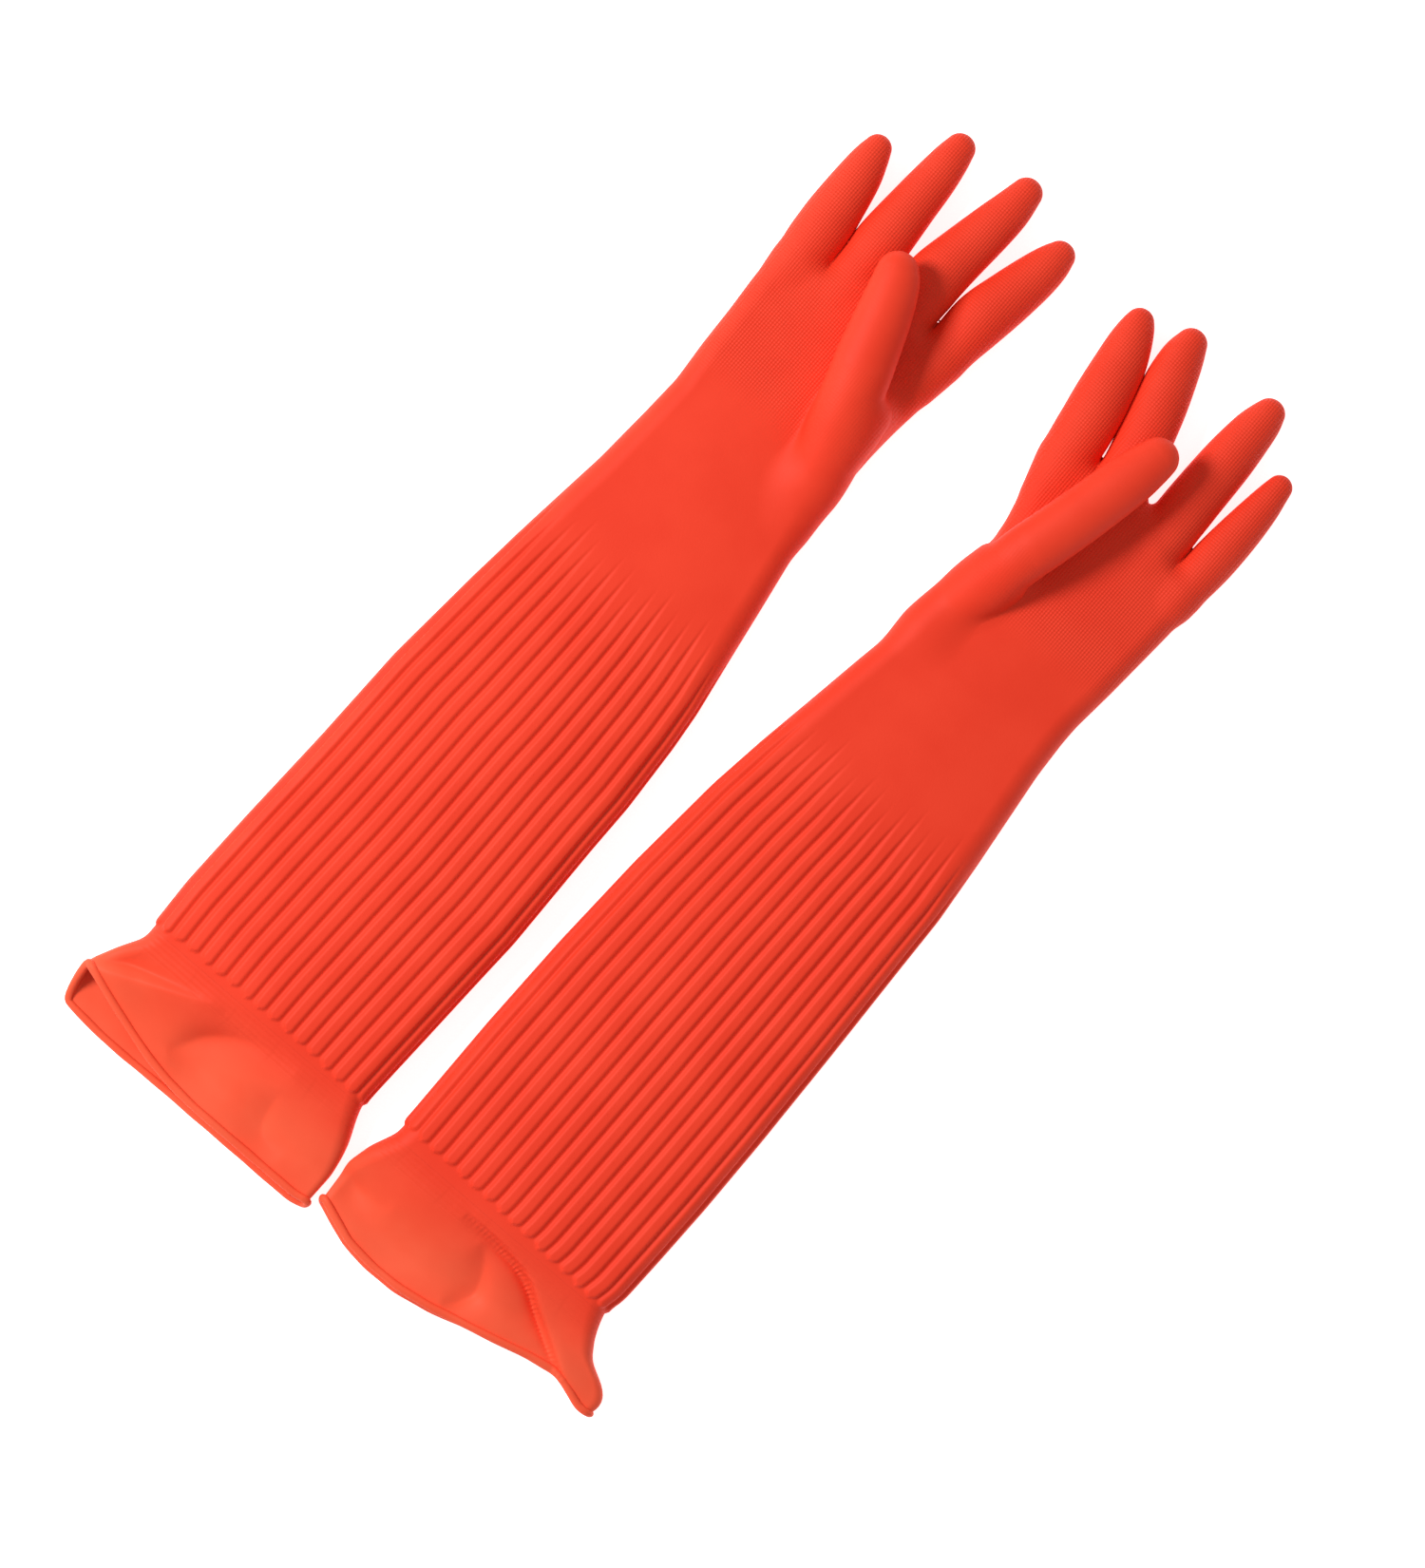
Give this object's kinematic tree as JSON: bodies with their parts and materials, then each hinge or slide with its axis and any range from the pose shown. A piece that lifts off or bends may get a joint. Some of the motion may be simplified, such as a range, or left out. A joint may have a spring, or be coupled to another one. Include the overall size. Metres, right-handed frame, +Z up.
{
  "type": "rubber gloves",
  "caption": "Pair of elbow-length ribbed rubber household gloves with flared cuffs and rolled rims, lying palm up with the thumbs across the palms.",
  "frame": {"origin": "middle of the pair's footprint, on the surface that the gloves lie on", "axes": "+Y along the gloves from the cuffs to the fingertips, +Z up out of the palms, +X from the right-hand glove to the left-hand glove"},
  "size_m": [0.3098, 0.5769, 0.0474],
  "materials": {
    "glove_rubber": "satin, slightly translucent",
    "cuff_rubber": "satin, thinner and more translucent",
    "bead_rubber": "satin"
  },
  "bodies": {
    "left_cuff": {"left_cuff": "cuff_rubber", "left_bead": "bead_rubber"},
    "left_lower_sleeve": {"left_lower_sleeve": "glove_rubber"},
    "left_upper_sleeve": {"left_upper_sleeve": "glove_rubber"},
    "left_hand": {"left_hand": "glove_rubber"},
    "left_index_base": {"left_index_base": "glove_rubber"},
    "left_index_tip": {"left_index_tip": "glove_rubber"},
    "left_middle_base": {"left_middle_base": "glove_rubber"},
    "left_middle_tip": {"left_middle_tip": "glove_rubber"},
    "left_ring_base": {"left_ring_base": "glove_rubber"},
    "left_ring_tip": {"left_ring_tip": "glove_rubber"},
    "left_little_base": {"left_little_base": "glove_rubber"},
    "left_little_tip": {"left_little_tip": "glove_rubber"},
    "left_thumb_base": {"left_thumb_base": "glove_rubber"},
    "left_thumb_tip": {"left_thumb_tip": "glove_rubber"},
    "right_cuff": {"right_cuff": "cuff_rubber", "right_bead": "bead_rubber"},
    "right_lower_sleeve": {"right_lower_sleeve": "glove_rubber"},
    "right_upper_sleeve": {"right_upper_sleeve": "glove_rubber"},
    "right_hand": {"right_hand": "glove_rubber"},
    "right_index_base": {"right_index_base": "glove_rubber"},
    "right_index_tip": {"right_index_tip": "glove_rubber"},
    "right_middle_base": {"right_middle_base": "glove_rubber"},
    "right_middle_tip": {"right_middle_tip": "glove_rubber"},
    "right_ring_base": {"right_ring_base": "glove_rubber"},
    "right_ring_tip": {"right_ring_tip": "glove_rubber"},
    "right_little_base": {"right_little_base": "glove_rubber"},
    "right_little_tip": {"right_little_tip": "glove_rubber"},
    "right_thumb_base": {"right_thumb_base": "glove_rubber"},
    "right_thumb_tip": {"right_thumb_tip": "glove_rubber"}
  },
  "joints": [
    {"name": "left_cuff_bend", "type": "hinge", "parent": "left_lower_sleeve", "child": "left_cuff", "pos_m": [0.0653, -0.2305, 0.01195], "axis": [-1, 0, 0], "range_deg": [-20, 30], "stiffness_Nm_per_rad": 0.2},
    {"name": "left_elbow", "type": "hinge", "parent": "left_upper_sleeve", "child": "left_lower_sleeve", "pos_m": [0.0667, -0.1415, 0.01195], "axis": [-1, 0, 0], "range_deg": [-20, 90], "stiffness_Nm_per_rad": 0.4},
    {"name": "left_wrist", "type": "hinge", "parent": "left_upper_sleeve", "child": "left_hand", "pos_m": [0.072, 0.1115, 0.01095], "axis": [1, 0, 0], "range_deg": [-30, 60], "stiffness_Nm_per_rad": 0.3},
    {"name": "left_index_knuckle", "type": "hinge", "parent": "left_hand", "child": "left_index_base", "pos_m": [0.033, 0.2075, 0.0114], "axis": [0.9751, 0.2215, 0], "range_deg": [-15, 60], "stiffness_Nm_per_rad": 0.02},
    {"name": "left_index_fold", "type": "hinge", "parent": "left_index_base", "child": "left_index_tip", "pos_m": [0.02525, 0.24163, 0.01079], "axis": [0.9751, 0.2215, 0], "range_deg": [-10, 80], "stiffness_Nm_per_rad": 0.012},
    {"name": "left_middle_knuckle", "type": "hinge", "parent": "left_hand", "child": "left_middle_base", "pos_m": [0.0609, 0.2115, 0.0114], "axis": [0.9673, 0.2538, 0], "range_deg": [-15, 8], "stiffness_Nm_per_rad": 0.02},
    {"name": "left_middle_fold", "type": "hinge", "parent": "left_middle_base", "child": "left_middle_tip", "pos_m": [0.05101, 0.24922, 0.01072], "axis": [0.9673, 0.2538, 0], "range_deg": [-10, 80], "stiffness_Nm_per_rad": 0.012},
    {"name": "left_ring_knuckle", "type": "hinge", "parent": "left_hand", "child": "left_ring_base", "pos_m": [0.0887, 0.2115, 0.011], "axis": [0.9998, -0.0175, 0], "range_deg": [-15, 60], "stiffness_Nm_per_rad": 0.02},
    {"name": "left_ring_fold", "type": "hinge", "parent": "left_ring_base", "child": "left_ring_tip", "pos_m": [0.08931, 0.24649, 0.01039], "axis": [0.9998, -0.0175, 0], "range_deg": [-10, 80], "stiffness_Nm_per_rad": 0.012},
    {"name": "left_little_knuckle", "type": "hinge", "parent": "left_hand", "child": "left_little_base", "pos_m": [0.1146, 0.2055, 0.0108], "axis": [0.9995, -0.0332, 0], "range_deg": [-15, 60], "stiffness_Nm_per_rad": 0.02},
    {"name": "left_little_fold", "type": "hinge", "parent": "left_little_base", "child": "left_little_tip", "pos_m": [0.11546, 0.23148, 0.01035], "axis": [0.9995, -0.0332, 0], "range_deg": [-10, 80], "stiffness_Nm_per_rad": 0.012},
    {"name": "left_thumb_root", "type": "hinge", "parent": "left_hand", "child": "left_thumb_base", "pos_m": [0.0475, 0.1555, 0.0326], "axis": [0.9785, -0.2062, 0], "range_deg": [0, 50], "stiffness_Nm_per_rad": 0.05},
    {"name": "left_thumb_fold", "type": "hinge", "parent": "left_thumb_base", "child": "left_thumb_tip", "pos_m": [0.05594, 0.19554, 0.0351], "axis": [0.9785, -0.2062, 0], "range_deg": [0, 60], "stiffness_Nm_per_rad": 0.03},
    {"name": "right_cuff_bend", "type": "hinge", "parent": "right_lower_sleeve", "child": "right_cuff", "pos_m": [-0.0805, -0.2305, 0.01195], "axis": [-1, 0, 0], "range_deg": [-20, 30], "stiffness_Nm_per_rad": 0.2},
    {"name": "right_elbow", "type": "hinge", "parent": "right_upper_sleeve", "child": "right_lower_sleeve", "pos_m": [-0.0782, -0.1415, 0.01195], "axis": [-1, 0, 0], "range_deg": [-20, 90], "stiffness_Nm_per_rad": 0.4},
    {"name": "right_wrist", "type": "hinge", "parent": "right_upper_sleeve", "child": "right_hand", "pos_m": [-0.0805, 0.1115, 0.01095], "axis": [1, 0, 0], "range_deg": [-30, 60], "stiffness_Nm_per_rad": 0.3},
    {"name": "right_index_knuckle", "type": "hinge", "parent": "right_hand", "child": "right_index_base", "pos_m": [-0.0396, 0.208, 0.0114], "axis": [0.9874, -0.1582, 0], "range_deg": [-15, 60], "stiffness_Nm_per_rad": 0.02},
    {"name": "right_index_fold", "type": "hinge", "parent": "right_index_base", "child": "right_index_tip", "pos_m": [-0.03406, 0.24255, 0.01079], "axis": [0.9874, -0.1582, 0], "range_deg": [-10, 80], "stiffness_Nm_per_rad": 0.012},
    {"name": "right_middle_knuckle", "type": "hinge", "parent": "right_hand", "child": "right_middle_base", "pos_m": [-0.0671, 0.2095, 0.0114], "axis": [0.9952, -0.0976, 0], "range_deg": [-15, 8], "stiffness_Nm_per_rad": 0.02},
    {"name": "right_middle_fold", "type": "hinge", "parent": "right_middle_base", "child": "right_middle_tip", "pos_m": [-0.0631, 0.2503, 0.01068], "axis": [0.9952, -0.0976, 0], "range_deg": [-10, 80], "stiffness_Nm_per_rad": 0.012},
    {"name": "right_ring_knuckle", "type": "hinge", "parent": "right_hand", "child": "right_ring_base", "pos_m": [-0.095, 0.2095, 0.011], "axis": [1, 0, 0], "range_deg": [-15, 8], "stiffness_Nm_per_rad": 0.02},
    {"name": "right_ring_fold", "type": "hinge", "parent": "right_ring_base", "child": "right_ring_tip", "pos_m": [-0.095, 0.24749, 0.01034], "axis": [1, 0, 0], "range_deg": [-10, 80], "stiffness_Nm_per_rad": 0.012},
    {"name": "right_little_knuckle", "type": "hinge", "parent": "right_hand", "child": "right_little_base", "pos_m": [-0.119, 0.2055, 0.0108], "axis": [0.9956, 0.0941, 0], "range_deg": [-15, 60], "stiffness_Nm_per_rad": 0.02},
    {"name": "right_little_fold", "type": "hinge", "parent": "right_little_base", "child": "right_little_tip", "pos_m": [-0.12145, 0.23138, 0.01035], "axis": [0.9956, 0.0941, 0], "range_deg": [-10, 80], "stiffness_Nm_per_rad": 0.012},
    {"name": "right_thumb_root", "type": "hinge", "parent": "right_hand", "child": "right_thumb_base", "pos_m": [-0.0625, 0.1685, 0.0326], "axis": [0.9466, 0.3223, 0], "range_deg": [0, 50], "stiffness_Nm_per_rad": 0.05},
    {"name": "right_thumb_fold", "type": "hinge", "parent": "right_thumb_base", "child": "right_thumb_tip", "pos_m": [-0.07118, 0.19401, 0.03425], "axis": [0.9466, 0.3223, 0], "range_deg": [0, 60], "stiffness_Nm_per_rad": 0.03},
    {"name": "right_glove_lift", "type": "slide", "parent": "left_upper_sleeve", "child": "right_upper_sleeve", "axis": [0, 0, 1], "range_m": [0, 0.12]}
  ]
}
